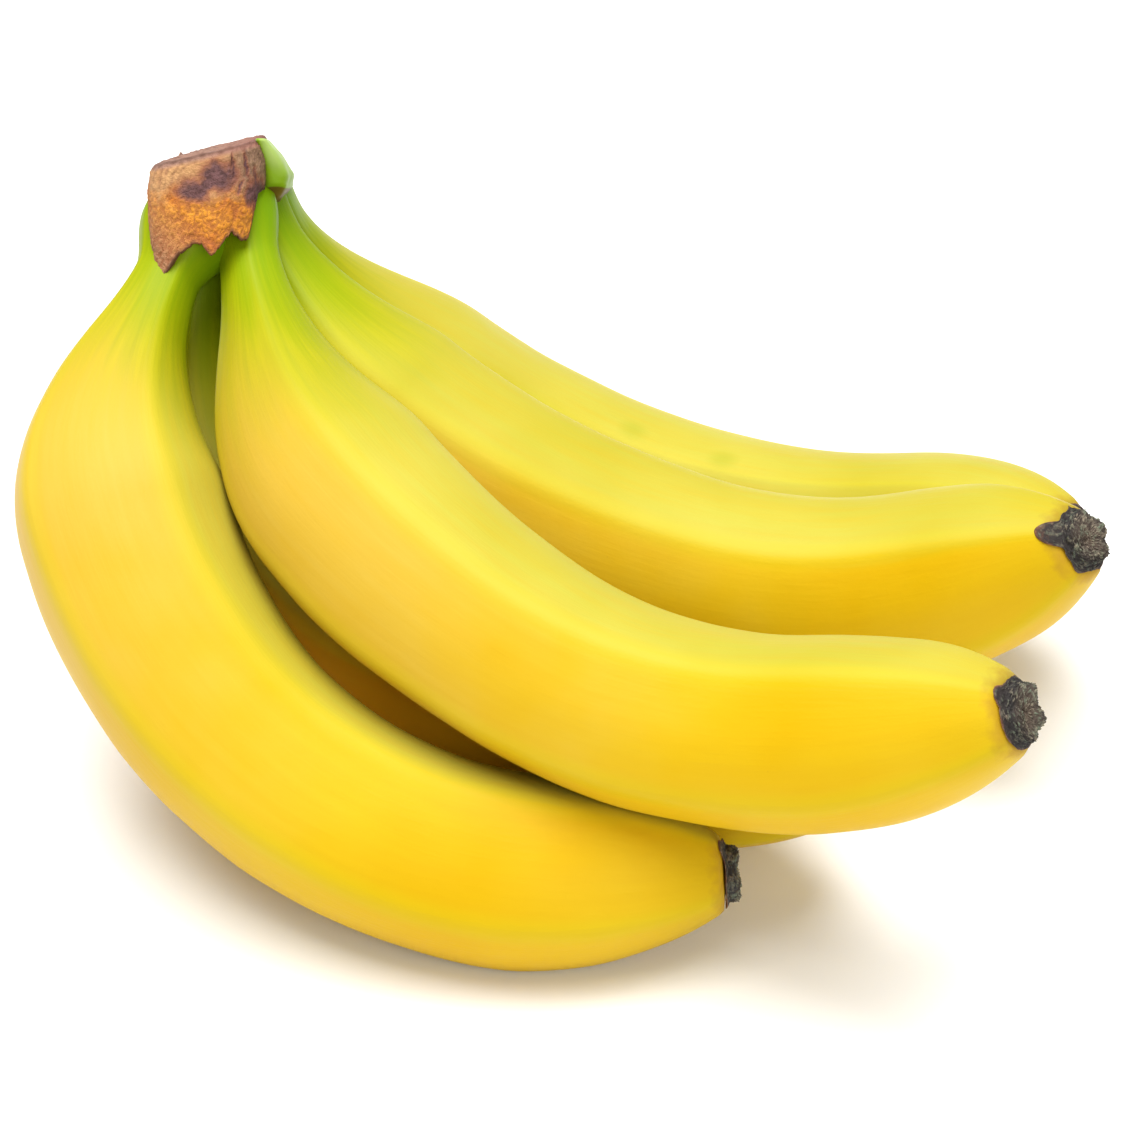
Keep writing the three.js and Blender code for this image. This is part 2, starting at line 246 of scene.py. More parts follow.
def make_radius_tree():
    """The finger's radius at a distance from its start, on the inside or outside of its bend."""
    inputs = {"Distance": "Float", "Skin Length": "Float", "Outward": "Float", **SIZES}
    tree, g = new_tree("finger radius", inputs, {"Radius": "Float"})
    shoulder = add(tree, "ShaderNodeMapRange", {
        "Value": g["Distance"], "From Min": g["Shoulder From"], "From Max": g["Shoulder To"]},
        interpolation_type="SMOOTHSTEP")
    end_start = add(tree, "ShaderNodeMath", {0: g["Skin Length"], 1: END_ROUNDING * MM}, operation="SUBTRACT")
    taper = add(tree, "ShaderNodeMapRange", {
        "Value": g["Distance"], "From Min": g["Shoulder To"], "From Max": end_start,
        "To Min": 1.0, "To Max": 1 - BODY_TAPER}, interpolation_type="SMOOTHSTEP")
    body = add(tree, "ShaderNodeMath", {0: g["Body Radius"], 1: taper}, operation="MULTIPLY")
    before_end = add(tree, "ShaderNodeMix", {"Factor": shoulder, "A": g["Neck Radius"], "B": body})
    into_end = add(tree, "ShaderNodeMapRange", {
        "Value": g["Distance"], "From Min": end_start, "From Max": g["Skin Length"]})
    fullness = add(tree, "ShaderNodeMix", {
        "Factor": g["Outward"], "A": END_FULLNESS[0], "B": END_FULLNESS[1]})
    rounding = add(tree, "ShaderNodeMath", {0: into_end, 1: fullness}, operation="POWER")
    radius = add(tree, "ShaderNodeMix", {"Factor": rounding, "A": before_end, "B": END_RADIUS * MM})
    # The skin flares where it meets the crown, and turns in at its end.
    to_collar = add(tree, "ShaderNodeMapRange", {
        "Value": g["Distance"], "From Min": COLLAR_FADE[0] * MM, "From Max": COLLAR_FADE[1] * MM,
        "To Min": 1.0, "To Max": 0.0}, interpolation_type="SMOOTHSTEP")
    collared = add(tree, "ShaderNodeMath", {0: to_collar, 1: g["Collar"], 2: radius},
                   operation="MULTIPLY_ADD")
    lip_start = add(tree, "ShaderNodeMath", {0: g["Skin Length"], 1: LIP_LENGTH * MM}, operation="SUBTRACT")
    lip = add(tree, "ShaderNodeMapRange", {
        "Value": g["Distance"], "From Min": lip_start, "From Max": g["Skin Length"]})
    lip = add(tree, "ShaderNodeMath", {0: lip, 1: 2.5}, operation="POWER")
    lipped = add(tree, "ShaderNodeMath", {0: lip, 1: -LIP_DEPTH * MM, 2: collared}, operation="MULTIPLY_ADD")
    add(tree, "NodeGroupOutput", {"Radius": lipped})
    return tree


def ridge_curve(tree, around, width):
    """1 on each ridge, 0 away from it, over this many degrees either side."""
    points = [(0, 1)]
    for a, b in FACES:
        points += [((a + width) / 360, 0), ((b - width) / 360, 0), (b / 360, 1)]
    return curve_points(add(tree, "ShaderNodeFloatCurve", {"Value": around}), points)


def start_sweep(tree, g):
    """What both sweeps along a finger share: its line, a sheet of points and their angles."""
    line = add(tree, "GeometryNodeMeshToCurve", {0: g["Geometry"]})
    length = add(tree, "GeometryNodeCurveLength", {0: line})
    skin_length = add(tree, "ShaderNodeMath", {0: length, 1: TIP_SETBACK * MM}, operation="SUBTRACT")
    columns = add(tree, "ShaderNodeMath", {0: g["Sides"], 1: 1.0}, operation="ADD")
    sheet = add(tree, "GeometryNodeMeshGrid", {"Vertices X": g["Rings"], "Vertices Y": columns})
    place = add(tree, "ShaderNodeSeparateXYZ", {0: sheet.outputs["UV Map"]})
    angle = add(tree, "ShaderNodeMath", {0: place.outputs["Y"], 1: 2 * math.pi}, operation="MULTIPLY")
    rolled = add(tree, "ShaderNodeMath", {0: angle, 1: g["Roll"]}, operation="ADD")
    cosine, sine, rolled_cosine, rolled_sine = (
        add(tree, "ShaderNodeMath", {0: turned}, operation=operation)
        for turned in (angle, rolled) for operation in ("COSINE", "SINE"))
    outward = add(tree, "ShaderNodeMapRange", {"Value": rolled_cosine, "From Min": 1.0, "From Max": -1.0})
    # The first and the last ring are poles: they close to one point on the centre line.
    past_first = add(tree, "ShaderNodeMath", {0: place.outputs["X"], 1: 1e-4}, operation="GREATER_THAN")
    before_last = add(tree, "ShaderNodeMath", {0: place.outputs["X"], 1: 1 - 1e-4}, operation="LESS_THAN")
    between_poles = add(tree, "ShaderNodeMath", {0: past_first, 1: before_last}, operation="MULTIPLY")
    return dict(line=line, length=length, skin_length=skin_length, sheet=sheet, along=place.outputs["X"],
                around=place.outputs["Y"], angle=angle, cosine=cosine, sine=sine, outward=outward,
                rolled_cosine=rolled_cosine, rolled_sine=rolled_sine, between_poles=between_poles)


def skin_radius(tree, g, s, radius_tree, distance):
    node = add(tree, "GeometryNodeGroup", node_tree=radius_tree)
    for label, value in (("Distance", distance), ("Skin Length", s["skin_length"]),
                         ("Outward", s["outward"])):
        tree.links.new(value.outputs[0], node.inputs[label])
    for label in SIZES:
        tree.links.new(g[label], node.inputs[label])
    return node


def finish_sweep(tree, g, s, distance, radius, attributes):
    """Places the sheet's points round the line, closes it, stores what the skin's finish needs."""
    on_line = add(tree, "ShaderNodeMath", {0: distance, 1: s["length"]}, operation="DIVIDE")
    sample = add(tree, "GeometryNodeSampleCurve", {"Curves": s["line"], "Factor": on_line}, mode="FACTOR")
    tangent = sample.outputs["Tangent"]
    beyond = add(tree, "ShaderNodeMath", {0: distance, 1: s["length"]}, operation="SUBTRACT")
    beyond = add(tree, "ShaderNodeMath", {0: beyond, 1: 0.0}, operation="MAXIMUM")
    overrun = add(tree, "ShaderNodeVectorMath", {0: tangent, "Scale": beyond}, operation="SCALE")
    across = add(tree, "ShaderNodeVectorMath", {0: g["Bend Axis"], 1: tangent}, operation="CROSS_PRODUCT")
    inside = add(tree, "ShaderNodeVectorMath", {0: across}, operation="NORMALIZE")
    sideways = add(tree, "ShaderNodeVectorMath", {0: tangent, 1: inside}, operation="CROSS_PRODUCT")
    part_in = add(tree, "ShaderNodeVectorMath", {0: inside, "Scale": s["rolled_cosine"]}, operation="SCALE")
    part_side = add(tree, "ShaderNodeVectorMath", {0: sideways, "Scale": s["rolled_sine"]}, operation="SCALE")
    direction = add(tree, "ShaderNodeVectorMath", {0: part_in, 1: part_side}, operation="ADD")
    # Soft unevenness, a few tenths of a millimetre over some centimetres, so no face is ruled straight.
    near = add(tree, "ShaderNodeVectorMath", {0: direction, "Scale": 18 * MM}, operation="SCALE")
    near = add(tree, "ShaderNodeVectorMath", {0: near, 1: sample.outputs["Position"]}, operation="ADD")
    uneven = add(tree, "ShaderNodeTexNoise", {"Vector": near, "W": g["Seed"], "Scale": 38.0, "Detail": 1.0},
                 noise_dimensions="4D")
    uneven = add(tree, "ShaderNodeMapRange", {
        "Value": uneven, "To Min": -UNEVENNESS * MM, "To Max": UNEVENNESS * MM})
    reach = add(tree, "ShaderNodeMath", {0: radius, 1: uneven}, operation="ADD")
    reach = add(tree, "ShaderNodeMath", {0: reach, 1: s["between_poles"]}, operation="MULTIPLY")
    out = add(tree, "ShaderNodeVectorMath", {0: direction, "Scale": reach}, operation="SCALE")
    at = add(tree, "ShaderNodeVectorMath", {0: sample.outputs["Position"], 1: overrun}, operation="ADD")
    at = add(tree, "ShaderNodeVectorMath", {0: at, 1: out}, operation="ADD")
    # The belly is pressed flat where it lies on the table.
    at = add(tree, "ShaderNodeVectorMath", {0: at, 1: (-9.0, -9.0, TABLE_CLEARANCE * MM)},
             operation="MAXIMUM")
    shape = add(tree, "GeometryNodeSetPosition", {"Geometry": s["sheet"].outputs["Mesh"], "Position": at})
    for name, value in attributes.items():
        kind = "FLOAT_VECTOR" if name == "grain" else "FLOAT"
        shape = add(tree, "GeometryNodeStoreNamedAttribute", {
            "Geometry": shape, "Name": name, "Value": value}, data_type=kind, domain="POINT")
    shape = add(tree, "GeometryNodeMergeByDistance", {"Geometry": shape, "Distance": 1e-6})
    shape = add(tree, "GeometryNodeRealizeInstances", {"Geometry": shape})
    shape = add(tree, "GeometryNodeSetMaterial", {"Geometry": shape, "Material": g["Material"]})
    add(tree, "NodeGroupOutput", {"Geometry": shape})


def make_peel_tree(radius_tree):
    """The skin of a finger: five lengthwise ridges, rounded over a few millimetres, and flatter faces."""
    tree, g = new_tree("banana peel", SWEEP_INPUTS, {"Geometry": "Geometry"})
    s = start_sweep(tree, g)
    distance = add(tree, "ShaderNodeMath", {0: s["along"], 1: s["skin_length"]}, operation="MULTIPLY")
    radius = skin_radius(tree, g, s, radius_tree, distance)
    points = [(0, RIDGE_BLUNTING)]
    for a, b in FACES:
        across_face = (a + 8, mix(a, b, 0.3), mix(a, b, 0.5), mix(a, b, 0.7), b - 8)
        points += [(degrees / 360, section_share(degrees)) for degrees in across_face]
        points.append((b / 360, RIDGE_BLUNTING))
    section = curve_points(add(tree, "ShaderNodeFloatCurve", {"Value": s["around"]}), points)
    reach = add(tree, "ShaderNodeMath", {0: radius, 1: section}, operation="MULTIPLY")
    left = add(tree, "ShaderNodeMath", {0: s["skin_length"], 1: distance}, operation="SUBTRACT")
    # The grain runs along the finger: turns of the angle across it, and 19 mm of length to one unit.
    run = add(tree, "ShaderNodeMath", {0: distance, 1: 1 / (19 * MM), 2: g["Seed"]}, operation="MULTIPLY_ADD")
    grain = add(tree, "ShaderNodeCombineXYZ", {0: s["cosine"], 1: s["sine"], 2: run})
    unripe = add(tree, "ShaderNodeMath", {0: distance, 1: g["Green Reach"]}, operation="DIVIDE")
    # The painted crevice shade, an amber tone, is gone a few centimetres before the dried end.
    painted_crevice_shade = add(tree, "ShaderNodeMapRange", {
        "Value": left, "From Min": 30 * MM, "From Max": 85 * MM, "To Min": 0.0, "To Max": g["Painted Crevice Shade"]})
    finish_sweep(tree, g, s, distance, reach, {
        "unripe": unripe, "painted_crevice_shade": painted_crevice_shade, "to_end": left, "ridge": ridge_curve(tree, s["around"], 14),
        "grain": grain})
    return tree


def make_dried_end_tree(radius_tree):
    """The dead flower's stub: a crust with flaps back along the ridges, five lobes and a crumbly hollow."""
    tree, g = new_tree("dried blossom end", SWEEP_INPUTS, {"Geometry": "Geometry"})
    s = start_sweep(tree, g)
    # Along the sweep: over the skin to its end, out along the stub, over its rim and into its hollow.
    profiles = (
        [(0, 0), (0.24, 0), (0.38, 0.5), (0.5, 0.85), (0.6, 1), (0.72, 0.92), (0.86, 0.7), (1, 0.62)],
        [(0, 1), (0.26, 0.99), (0.4, 0.95), (0.52, 0.87), (0.6, 0.74), (0.72, 0.5), (0.86, 0.24), (1, 0.03)],
        [(0, 0), (0.28, 0.05), (0.55, 1), (0.7, 0.8), (1, 0)],
        [(0, 0.08), (0.2, 0.22), (0.4, 0.8), (0.6, 1), (0.85, 0.9), (1, 0.5)])
    out, stub, lobe_depth, crumb_depth = (
        curve_points(add(tree, "ShaderNodeFloatCurve", {"Value": s["along"]}), points) for points in profiles)
    out = add(tree, "ShaderNodeMath", {0: out, 1: TIP_LENGTH * MM}, operation="MULTIPLY")
    stub = add(tree, "ShaderNodeMath", {0: stub, 1: TIP_RADIUS * MM}, operation="MULTIPLY")
    on_skin = add(tree, "ShaderNodeMapRange", {
        "Value": s["along"], "From Max": 0.24, "To Min": 1.0, "To Max": 0.0})
    # The flap on the second ridge is the longest; the others run back less, and the margin wavers.
    off_longest = add(tree, "ShaderNodeMath", {0: s["angle"], 1: math.radians(RIDGES[1])},
                      operation="SUBTRACT")
    off_longest = add(tree, "ShaderNodeMath", {0: off_longest}, operation="COSINE")
    longest = add(tree, "ShaderNodeMapRange", {"Value": off_longest, "From Min": 0.5, "To Min": 0.12})
    pointed = add(tree, "ShaderNodeMath", {0: ridge_curve(tree, s["around"], 40), 1: 2.0}, operation="POWER")
    flap = add(tree, "ShaderNodeMath", {0: pointed, 1: longest}, operation="MULTIPLY")
    flap = add(tree, "ShaderNodeMath", {0: flap, 1: g["Flap"]}, operation="MULTIPLY")
    round_it = add(tree, "ShaderNodeCombineXYZ", {0: s["cosine"], 1: s["sine"]})
    margin = add(tree, "ShaderNodeTexNoise", {
        "Vector": round_it, "W": g["Turn"], "Scale": 2.6, "Detail": 3.0}, noise_dimensions="4D")
    flap = add(tree, "ShaderNodeMath", {0: margin, 1: MARGIN_WAVER * MM, 2: flap}, operation="MULTIPLY_ADD")
    back = add(tree, "ShaderNodeMath", {0: flap, 1: on_skin}, operation="MULTIPLY")
    distance = add(tree, "ShaderNodeMath", {0: s["skin_length"], 1: back}, operation="SUBTRACT")
    skin = skin_radius(tree, g, s, radius_tree, distance)
    distance = add(tree, "ShaderNodeMath", {0: distance, 1: out}, operation="ADD")
    # The crust stands off the skin, and its margin is tucked into it.
    lift = curve_points(add(tree, "ShaderNodeFloatCurve", {"Value": on_skin}),
                        [(0, 0.8), (0.6, 0.7), (0.85, 0.55), (1, 0)])
    lift = add(tree, "ShaderNodeMath", {0: lift, 1: CRUST_LIFT * MM, 2: -CRUST_TUCK * MM},
               operation="MULTIPLY_ADD")
    lifted = add(tree, "ShaderNodeMath", {0: skin, 1: lift}, operation="ADD")
    leaves = add(tree, "ShaderNodeMapRange", {"Value": s["along"], "From Min": 0.2, "From Max": 0.32},
                 interpolation_type="SMOOTHSTEP")
    reach = add(tree, "ShaderNodeMix", {"Factor": leaves, "A": lifted, "B": stub})
    # Five lobes, deepest at the rim.
    phase = add(tree, "ShaderNodeMath", {0: s["angle"], 1: 5.0, 2: g["Turn"]}, operation="MULTIPLY_ADD")
    lobes = add(tree, "ShaderNodeMath", {0: phase}, operation="COSINE")
    lobes = add(tree, "ShaderNodeMath", {0: lobes, 1: lobe_depth}, operation="MULTIPLY")
    # Crumbs of dead tissue, from half a millimetre up.
    stretched = add(tree, "ShaderNodeMath", {0: s["along"], 1: 3.4}, operation="MULTIPLY")
    crumb_place = add(tree, "ShaderNodeCombineXYZ", {0: s["cosine"], 1: s["sine"], 2: stretched})
    crumbs = add(tree, "ShaderNodeTexNoise", {
        "Vector": crumb_place, "W": g["Turn"], "Scale": 6.5, "Detail": 5.0, "Roughness": 0.75},
        noise_dimensions="4D")
    crumbs = add(tree, "ShaderNodeMapRange", {
        "Value": crumbs, "From Min": 0.32, "From Max": 0.68, "To Min": -1.0, "To Max": 1.0}, clamp=False)
    rough = add(tree, "ShaderNodeMath", {0: crumbs, 1: crumb_depth}, operation="MULTIPLY")
    for relief, (outwards, along) in ((lobes, LOBE_RELIEF), (rough, CRUMB_RELIEF)):
        reach = add(tree, "ShaderNodeMath", {0: relief, 1: outwards * MM, 2: reach}, operation="MULTIPLY_ADD")
        distance = add(tree, "ShaderNodeMath", {0: relief, 1: along * MM, 2: distance},
                       operation="MULTIPLY_ADD")
    # Each pole is at one distance, whatever the angle.
    pole = add(tree, "ShaderNodeMath", {0: s["skin_length"], 1: out}, operation="ADD")
    distance = add(tree, "ShaderNodeMix", {"Factor": s["between_poles"], "A": pole, "B": distance})
    finish_sweep(tree, g, s, distance, reach, {"dried": s["along"], "crumb": crumbs})
    return tree


def centre_line(route):
    """The finger's centre line, a clamped cubic B-spline, as a mesh of edges."""
    curve = bpy.data.curves.new("centre line", "CURVE")
    curve.dimensions = "3D"
    curve.resolution_u = 32
    spline = curve.splines.new("NURBS")
    spline.points.add(len(route) - 1)
    for point, place in zip(spline.points, route):
        point.co = (*in_part(place), 1)
    spline.order_u = 4
    spline.use_endpoint_u = True
    holder = bpy.data.objects.new("centre line", curve)
    mesh = bpy.data.meshes.new_from_object(holder)
    bpy.data.objects.remove(holder)
    return mesh


def bend_axis(line):
    """The axis that a finger bends round, from its root, middle and end."""
    points = [v.co for v in line.vertices]
    travelled = [0.0]
    for a, b in zip(points, points[1:]):
        travelled.append(travelled[-1] + (b - a).length)
    middle = next(p for p, t in zip(points, travelled) if t >= travelled[-1] / 2)
    return (middle - points[0]).cross(points[-1] - middle).normalized()


def grown(tree, base, values):
    """The mesh that a node tree makes from a base mesh, with its named inputs set."""
    carrier = bpy.data.objects.new("carrier", base)
    bpy.context.scene.collection.objects.link(carrier)
    modifier = carrier.modifiers.new("Grow", "NODES")
    modifier.node_group = tree
    for item in tree.interface.items_tree:
        if item.in_out == "INPUT" and item.name in values:
            modifier[item.identifier] = values[item.name]
    depsgraph = bpy.context.evaluated_depsgraph_get()
    mesh = bpy.data.meshes.new_from_object(
        carrier.evaluated_get(depsgraph), preserve_all_data_layers=True, depsgraph=depsgraph)
    bpy.data.objects.remove(carrier)
    return mesh


# ---- Materials ----

def new_material(name, **settings):
    material = bpy.data.materials.new(name)
    material.use_nodes = True
    tree = material.node_tree
    shader = tree.nodes["Principled BSDF"]
    for label, value in settings.items():
        shader.inputs[label.replace("_", " ")].default_value = value
    return material, tree, shader


def finish_material(tree, shader, colour, height, distance, strength):
    """Gives the shader its colour, and its relief from a height, in metres of depth."""
    tree.links.new(next(s for s in colour.outputs if s.enabled), shader.inputs["Base Color"])
    bump = add(tree, "ShaderNodeBump", {"Height": height, "Distance": distance, "Strength": strength})
    tree.links.new(bump.outputs[0], shader.inputs["Normal"])


def ramp_points(node, points):
    """Sets a colour ramp's points, given as (position, hex colour)."""
    elements = node.color_ramp.elements
    while len(elements) < len(points):
        elements.new(0.5)
    for element, (position, code) in zip(elements, points):
        element.position = position
        element.color = srgb(code)
    return node


def make_peel():
    """Ripe banana peel: a waxy skin over lengthwise fibres, satin. The faces inside the bend are pale
    lemon, partly their own pigment and partly painted sheen of the light from above; the pigment is
    golden outside it, green at the neck and olive towards the dried end."""
    material, tree, shader = new_material(
        "ripe banana peel", Roughness=0.45, IOR=1.45, Specular_IOR_Level=0.13)
    unripe, to_end, ridge, painted_crevice_shade = (
        add(tree, "ShaderNodeAttribute", attribute_name=name).outputs["Fac"]
        for name in ("unripe", "to_end", "ridge", "painted_crevice_shade"))
    grain = add(tree, "ShaderNodeAttribute", attribute_name="grain").outputs["Vector"]
    place = add(tree, "ShaderNodeTexCoord").outputs["Object"]
    towards_inside = add(tree, "ShaderNodeSeparateXYZ", {0: grain}).outputs["X"]
    # Streaks along the fibres, about 2 mm wide and some centimetres long.
    long_grain = add(tree, "ShaderNodeMapping", {"Vector": grain, "Scale": (1.0, 1.0, 0.08)})
    streak = add(tree, "ShaderNodeTexNoise", {
        "Vector": long_grain, "Scale": 8.0, "Detail": 4.0, "Roughness": 0.6})
    streak = add(tree, "ShaderNodeMapRange", {"Value": streak, "From Min": 0.35, "From Max": 0.7})
    # Broad cloudiness of the yellow, 30 to 60 mm across.
    cloud = add(tree, "ShaderNodeTexNoise", {
        "Vector": place, "Scale": 24.0, "Detail": 3.0, "Roughness": 0.55})
    cloud = add(tree, "ShaderNodeMapRange", {"Value": cloud, "From Min": 0.32, "From Max": 0.68})
    golden, lemon_and_sheen, ripening = (
        add(tree, "ShaderNodeMix", {"Factor": share, "A": srgb(low), "B": srgb(high)}, data_type="RGBA")
        for share, low, high in (
            (cloud, "#cea402", "#d2ae16"), (cloud, "#b4aa34", "#bcb344"), (streak, "#989c05", "#aaa80a")))
    # Pale beige over the shoulder, gone by half way along, partly the skin's own tone and partly painted
    #     # sheen on the lit upper faces; then an amber tone, painted crevice shade, where the finger has it.
    shoulder = add(tree, "ShaderNodeMath", {0: cloud, 1: -0.7, 2: unripe}, operation="MULTIPLY_ADD")
    shoulder = add(tree, "ShaderNodeMapRange", {
        "Value": shoulder, "From Min": 0.6, "From Max": 2.1, "To Min": 0.75, "To Max": 0.0},
        interpolation_type="SMOOTHSTEP")
    for share, tone in ((shoulder, "#ceab48"), (painted_crevice_shade, "#d08a0c")):
        golden = add(tree, "ShaderNodeMix", {"Factor": share, "A": golden, "B": srgb(tone)}, data_type="RGBA")
    # Pale lemon inside the bend: partly the skin's own tone, partly painted sheen of the light from above.
    wavering = add(tree, "ShaderNodeMath", {0: streak, 1: 0.08, 2: towards_inside}, operation="MULTIPLY_ADD")
    is_inside = add(tree, "ShaderNodeMapRange", {"Value": wavering, "From Min": 0.28, "From Max": 0.56},
                    interpolation_type="SMOOTHSTEP")
    layers = [(is_inside, lemon_and_sheen)]
    for mark, strength, tone in ((streak, 0.22, "#c99c08"), (ridge, 0.3, "#c6ba10")):
        share = add(tree, "ShaderNodeMath", {0: mark, 1: strength}, operation="MULTIPLY")
        layers.append((share, srgb(tone)))
    # Green at the neck, drawn out along the fibres, further down inside the bend.
    uneven = add(tree, "ShaderNodeTexNoise", {"Vector": long_grain, "Scale": 2.2, "Detail": 3.0})
    reach = add(tree, "ShaderNodeMath", {0: uneven, 1: 0.36, 2: -0.18}, operation="MULTIPLY_ADD")
    reach = add(tree, "ShaderNodeMath", {0: towards_inside, 1: -0.12, 2: reach}, operation="MULTIPLY_ADD")
    reach = add(tree, "ShaderNodeMath", {0: unripe, 1: reach}, operation="ADD")
    green = add(tree, "ShaderNodeMapRange", {
        "Value": reach, "From Min": 0.35, "From Max": 1.2, "To Min": 1.0, "To Max": 0.0},
        interpolation_type="SMOOTHSTEP")
    greenest = add(tree, "ShaderNodeMapRange", {
        "Value": reach, "From Min": 0.0, "From Max": 0.6, "To Min": 0.9, "To Max": 0.0})
    green_tone = add(tree, "ShaderNodeMix", {"Factor": greenest, "A": ripening, "B": srgb("#6e9806")},
                     data_type="RGBA")
    # Olive, then brown, at the dried end.
    olive = add(tree, "ShaderNodeMapRange", {
        "Value": to_end, "From Max": 0.018, "To Min": 0.35, "To Max": 0.0}, interpolation_type="SMOOTHSTEP")
    mottle = add(tree, "ShaderNodeTexNoise", {"Vector": place, "Scale": 420.0, "Detail": 3.0})
    edge = add(tree, "ShaderNodeMath", {0: mottle, 1: 0.005, 2: -0.0025}, operation="MULTIPLY_ADD")
    edge = add(tree, "ShaderNodeMath", {0: to_end, 1: edge}, operation="ADD")
    brown = add(tree, "ShaderNodeMapRange", {
        "Value": edge, "From Min": 0.0008, "From Max": 0.0034, "To Min": 0.42, "To Max": 0.0})
    # Sparse brown flecks, under a millimetre.
    fleck = add(tree, "ShaderNodeTexVoronoi", {"Vector": place, "Scale": 85.0})
    fleck_size = add(tree, "ShaderNodeTexNoise", {"Vector": place, "Scale": 60.0})
    fleck_size = add(tree, "ShaderNodeMapRange", {
        "Value": fleck_size, "From Min": 0.56, "From Max": 0.8, "To Max": 0.07})
    fleck = add(tree, "ShaderNodeMath", {0: fleck_size, 1: fleck.outputs["Distance"]}, operation="SUBTRACT")
    fleck = add(tree, "ShaderNodeMapRange", {"Value": fleck, "From Max": 0.03, "To Max": 0.35})
    layers += [(green, green_tone), (olive, srgb("#bfa60a")), (brown, srgb("#94622a")),
               (fleck, srgb("#a77a28"))]
    # Two soft green smudges, a few millimetres across, on the back finger.
    for spot in SMUDGES:
        away = add(tree, "ShaderNodeVectorMath", {0: place, 1: Vector(spot) * MM}, operation="DISTANCE")
        smudge = add(tree, "ShaderNodeMapRange", {
            "Value": away.outputs["Value"], "From Min": 0.4 * MM, "From Max": 4.4 * MM,
            "To Min": 0.3, "To Max": 0.0}, interpolation_type="SMOOTHSTEP")
        layers.append((smudge, srgb("#8f9a1c")))
    skin = golden
    for share, tone in layers:
        skin = add(tree, "ShaderNodeMix", {"Factor": share, "A": skin, "B": tone}, data_type="RGBA")
    # Fine fibres and pores in relief, hundredths of a millimetre.
    fibre = add(tree, "ShaderNodeTexNoise", {
        "Vector": long_grain, "Scale": 24.0, "Detail": 3.0, "Roughness": 0.55})
    pores = add(tree, "ShaderNodeTexNoise", {"Vector": place, "Scale": 1000.0, "Detail": 2.0})
    relief = add(tree, "ShaderNodeMath", {0: pores, 1: 0.5, 2: fibre}, operation="MULTIPLY_ADD")
    finish_material(tree, shader, skin, relief, 0.00016, 0.3)
    return material


def make_dried_flower():
    """A dried blossom end: dead plant tissue, matte, rust brown where it meets the skin, then charcoal,
    with paler grey and olive crumbs standing out of it."""
    material, tree, shader = new_material("dried blossom tissue", Roughness=0.8, IOR=1.45)
    dried, crumb = (
        add(tree, "ShaderNodeAttribute", attribute_name=name).outputs["Fac"] for name in ("dried", "crumb"))
    place = add(tree, "ShaderNodeTexCoord").outputs["Object"]
    blotch = add(tree, "ShaderNodeTexNoise", {
        "Vector": place, "Scale": 420.0, "Detail": 4.0, "Roughness": 0.7})
    shifted = add(tree, "ShaderNodeMath", {0: blotch, 1: 0.4, 2: dried}, operation="MULTIPLY_ADD")
    shifted = add(tree, "ShaderNodeMath", {0: shifted, 1: 0.2}, operation="SUBTRACT")
    tone = ramp_points(add(tree, "ShaderNodeValToRGB", {"Fac": shifted}), [
        (0.0, "#8a5a38"), (0.05, "#5c3e2e"), (0.13, "#2a2220"), (0.42, "#2c2826"), (0.62, "#4c4138"),
        (1.0, "#5c4b3e")])
    fine = add(tree, "ShaderNodeTexNoise", {"Vector": place, "Scale": 600.0, "Detail": 3.0, "Roughness": 0.6})
    peaks = add(tree, "ShaderNodeMath", {0: fine, 1: 2.4, 2: crumb}, operation="MULTIPLY_ADD")
    peaks = add(tree, "ShaderNodeMapRange", {"Value": peaks, "From Min": 1.2, "From Max": 1.9, "To Max": 0.9})
    later = add(tree, "ShaderNodeMapRange", {
        "Value": dried, "From Min": 0.3, "From Max": 0.55, "To Min": 0.45})
    peaks = add(tree, "ShaderNodeMath", {0: peaks, 1: later}, operation="MULTIPLY")
    crumb_tone = add(tree, "ShaderNodeMix", {
        "Factor": add(tree, "ShaderNodeMapRange", {"Value": blotch, "From Min": 0.4, "From Max": 0.6}),
        "A": srgb("#a0917a"), "B": srgb("#76836c")}, data_type="RGBA")
    toned = add(tree, "ShaderNodeMix", {"Factor": peaks, "A": tone, "B": crumb_tone}, data_type="RGBA")
    relief = add(tree, "ShaderNodeMath", {0: fine, 1: 0.5, 2: blotch}, operation="MULTIPLY_ADD")
    finish_material(tree, shader, toned, relief, 0.001, 0.7)
    return material


